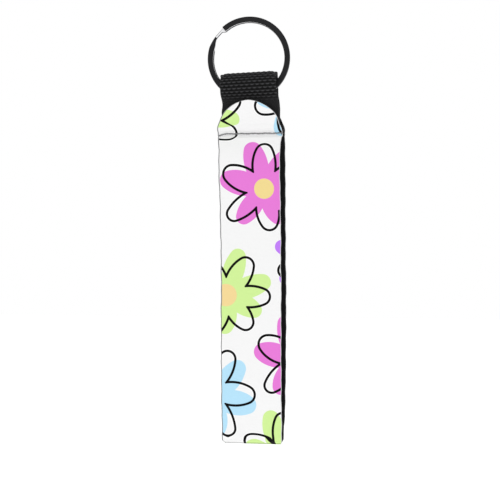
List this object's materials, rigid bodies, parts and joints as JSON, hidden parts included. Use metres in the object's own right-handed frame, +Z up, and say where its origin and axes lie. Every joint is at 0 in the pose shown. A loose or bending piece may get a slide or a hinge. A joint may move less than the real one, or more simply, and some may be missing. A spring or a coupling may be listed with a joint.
{
  "type": "wristlet keychain",
  "caption": "Neoprene wrist strap with a retro daisy print, sewn over a folded black webbing tab that hangs on a black split key ring.",
  "frame": {"origin": "hang point: the middle of the split ring's inner surface at its top, where a hook or peg carries the ring", "axes": "+Z up along the hanging strap, +X to the right across the strap, +Y from the printed front to the back"},
  "size_m": [0.032, 0.015, 0.164],
  "materials": {
    "ring_black": "satin",
    "webbing_black": "matte",
    "print_knit": "matte",
    "foam_black": "matte",
    "lining_black": "matte",
    "thread_grey": "matte"
  },
  "bodies": {
    "ring": {"split_ring": "ring_black"},
    "ring_free_end": {"ring_free_turn": "ring_black"},
    "seam": {"webbing_tab": "webbing_black", "seam_needle_thread": "thread_grey", "seam_bobbin_thread": "thread_grey", "front_tongue_print_face": "print_knit", "front_tongue_foam_core": "foam_black", "front_tongue_lining": "lining_black", "back_tongue_print_face": "print_knit", "back_tongue_foam_core": "foam_black", "back_tongue_lining": "lining_black"},
    "front_upper": {"front_upper_print_face": "print_knit", "front_upper_foam_core": "foam_black", "front_upper_lining": "lining_black"},
    "front_lower": {"front_lower_print_face": "print_knit", "front_lower_foam_core": "foam_black", "front_lower_lining": "lining_black"},
    "bottom_fold": {"bottom_fold_print_face": "print_knit", "bottom_fold_foam_core": "foam_black", "bottom_fold_lining": "lining_black"},
    "back_lower": {"back_lower_print_face": "print_knit", "back_lower_foam_core": "foam_black", "back_lower_lining": "lining_black"},
    "back_upper": {"back_upper_print_face": "print_knit", "back_upper_foam_core": "foam_black", "back_upper_lining": "lining_black"}
  },
  "joints": [
    {"name": "ring_pry", "type": "hinge", "parent": "ring", "child": "ring_free_end", "pos_m": [0.008, -0.00125, -0.02776], "axis": [0.866, 0, 0.5], "range_deg": [0, 5], "stiffness_Nm_per_rad": 0.2},
    {"name": "tab_swing", "type": "hinge", "parent": "ring", "child": "seam", "pos_m": [0, 0, -0.02605], "axis": [1, 0, 0], "range_deg": [-130, 130]},
    {"name": "loop_open", "type": "hinge", "parent": "seam", "child": "front_upper", "pos_m": [0, -0.00265, -0.0435], "axis": [-1, 0, 0], "range_deg": [0, 35], "stiffness_Nm_per_rad": 0.16, "springref_deg": -0.09},
    {"name": "front_bend", "type": "hinge", "parent": "front_upper", "child": "front_lower", "pos_m": [0, -0.0053, -0.1014], "axis": [-1, 0, 0], "range_deg": [-70, 0], "stiffness_Nm_per_rad": 0.026, "springref_deg": -0.98},
    {"name": "fold_front_bend", "type": "hinge", "parent": "front_lower", "child": "bottom_fold", "pos_m": [0, -0.00265, -0.1593], "axis": [-1, 0, 0], "range_deg": [0, 35], "stiffness_Nm_per_rad": 0.078, "springref_deg": -0.31},
    {"name": "fold_back_bend", "type": "hinge", "parent": "bottom_fold", "child": "back_lower", "pos_m": [0, 0.00265, -0.1593], "axis": [-1, 0, 0], "range_deg": [0, 35], "stiffness_Nm_per_rad": 0.078, "springref_deg": -0.11},
    {"name": "back_bend", "type": "hinge", "parent": "back_lower", "child": "back_upper", "pos_m": [0, 0.0053, -0.1014], "axis": [-1, 0, 0], "range_deg": [-70, 0], "stiffness_Nm_per_rad": 0.02, "springref_deg": -0.03}
  ],
  "couplings": [
    {"joint": "front_bend", "follows": "loop_open", "ratio": -2},
    {"joint": "fold_front_bend", "follows": "loop_open", "ratio": 1},
    {"joint": "fold_back_bend", "follows": "loop_open", "ratio": 1},
    {"joint": "back_bend", "follows": "loop_open", "ratio": -2}
  ]
}
